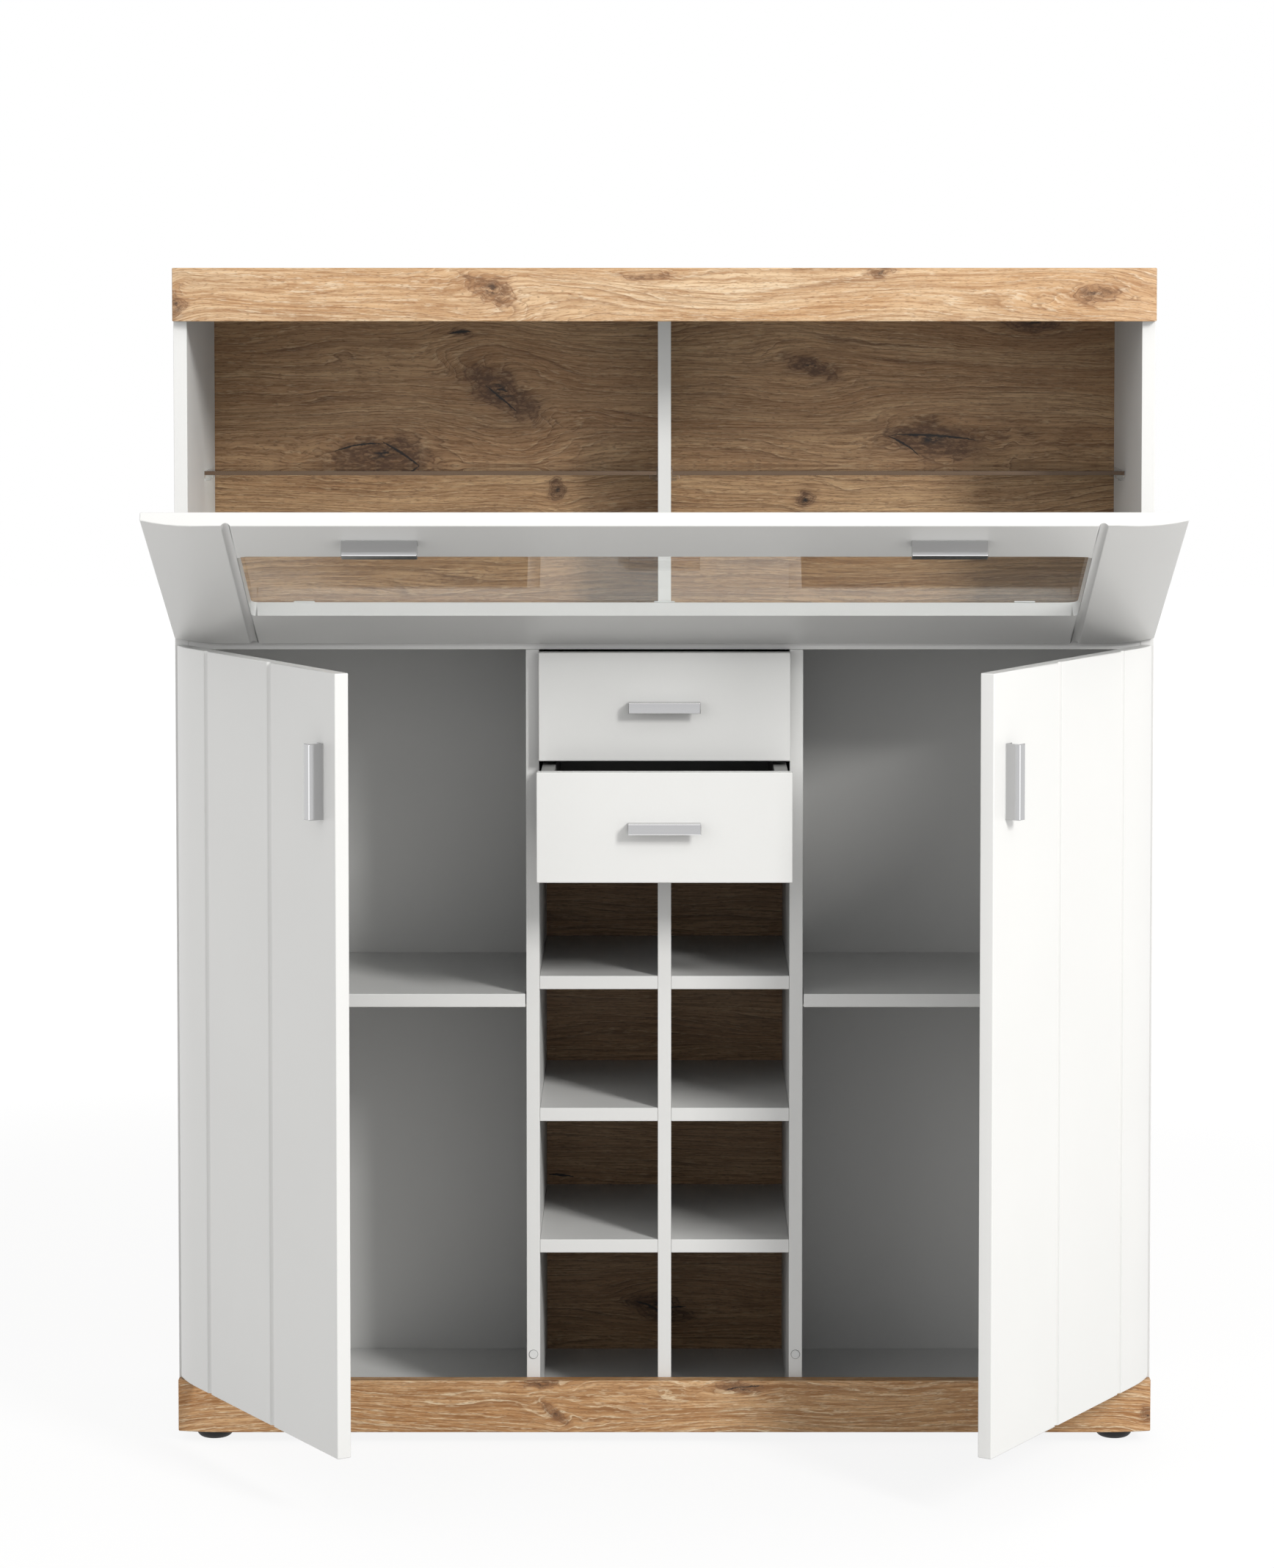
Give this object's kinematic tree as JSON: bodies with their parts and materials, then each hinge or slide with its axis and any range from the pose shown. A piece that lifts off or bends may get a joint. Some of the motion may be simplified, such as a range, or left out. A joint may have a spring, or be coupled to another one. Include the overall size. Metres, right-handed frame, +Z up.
{
  "type": "bar cabinet",
  "caption": "Free-standing bar cabinet with a drop-down glazed flap, glass shelves, grooved hinged doors, drawers and an open bottle rack.",
  "frame": {"origin": "centre of the cabinet's footprint on the floor, at the underside of the middle foot", "axes": "+X to the right seen from the front, +Y to the back, +Z up; the doors, flap and drawers open towards -Y"},
  "size_m": [1.16, 0.705, 1.4],
  "materials": {
    "white_board": "white foil-faced board, satin",
    "oak_decor_board": "knotty oak decor, satin",
    "oak_decor_back": "knotty oak decor on thin fibreboard, satin",
    "white_back": "white thin fibreboard, satin",
    "glass": "clear",
    "aluminium": "satin anodised",
    "nickel_steel": "nickel-plated",
    "zinc_cam": "die-cast zinc",
    "black_plastic": "moulded, matt",
    "clear_white_plastic": "moulded, satin"
  },
  "bodies": {
    "carcass": {"base_fascia": "oak_decor_board", "bottom_panel": "white_board", "cam_locks": "zinc_cam", "door_bumpers": "clear_white_plastic", "drawer_rails": "clear_white_plastic", "feet": "black_plastic", "flap_hinge_arms": "nickel_steel", "glass_shelf_clips": "clear_white_plastic", "hinge_plates": "nickel_steel", "left_back_panel": "white_back", "left_divider": "white_board", "left_door_hinge_arms": "nickel_steel", "left_glass_shelf": "glass", "left_shelf": "white_board", "left_side_panel": "white_board", "middle_shelf": "white_board", "rack_back_panel": "oak_decor_back", "rack_divider": "white_board", "rack_shelves": "white_board", "rack_top_panel": "white_board", "right_back_panel": "white_back", "right_divider": "white_board", "right_door_hinge_arms": "nickel_steel", "right_glass_shelf": "glass", "right_shelf": "white_board", "right_side_panel": "white_board", "shelf_pins": "nickel_steel", "top_board": "oak_decor_board", "top_fascia": "oak_decor_board", "upper_back_panel": "oak_decor_back", "upper_divider": "white_board"},
    "left_door": {"left_door_handle": "aluminium", "left_door_handle_screws": "nickel_steel", "left_door_hinge_cups": "nickel_steel", "left_door_hinge_pins": "nickel_steel", "left_door_panel": "white_board"},
    "right_door": {"right_door_handle": "aluminium", "right_door_handle_screws": "nickel_steel", "right_door_hinge_cups": "nickel_steel", "right_door_hinge_pins": "nickel_steel", "right_door_panel": "white_board"},
    "flap": {"flap_frame": "white_board", "flap_glass": "glass", "flap_glass_clips": "clear_white_plastic", "flap_handle_screws": "nickel_steel", "flap_handles": "aluminium", "flap_hinge_cups": "nickel_steel", "flap_hinge_pins": "nickel_steel"},
    "upper_drawer": {"upper_drawer_back": "white_board", "upper_drawer_bottom": "white_back", "upper_drawer_front": "white_board", "upper_drawer_handle": "aluminium", "upper_drawer_handle_screws": "nickel_steel", "upper_drawer_sides": "white_board"},
    "lower_drawer": {"lower_drawer_back": "white_board", "lower_drawer_bottom": "white_back", "lower_drawer_front": "white_board", "lower_drawer_handle": "aluminium", "lower_drawer_handle_screws": "nickel_steel", "lower_drawer_sides": "white_board"}
  },
  "joints": [
    {"name": "left_door_hinge", "type": "hinge", "parent": "carcass", "child": "left_door", "pos_m": [-0.5707, -0.1652, 0.516], "axis": [0, 0, -1], "range_deg": [-59, 36]},
    {"name": "right_door_hinge", "type": "hinge", "parent": "carcass", "child": "right_door", "pos_m": [0.5707, -0.1652, 0.516], "axis": [0, 0, 1], "range_deg": [-59, 36]},
    {"name": "flap_hinge", "type": "hinge", "parent": "carcass", "child": "flap", "pos_m": [0, -0.1675, 0.9655], "axis": [1, 0, 0], "range_deg": [-65, 21]},
    {"name": "upper_drawer_slide", "type": "slide", "parent": "carcass", "child": "upper_drawer", "axis": [0, -1, 0], "range_m": [0, 0.245]},
    {"name": "lower_drawer_slide", "type": "slide", "parent": "carcass", "child": "lower_drawer", "axis": [0, -1, 0], "range_m": [-0.095, 0.15]}
  ]
}
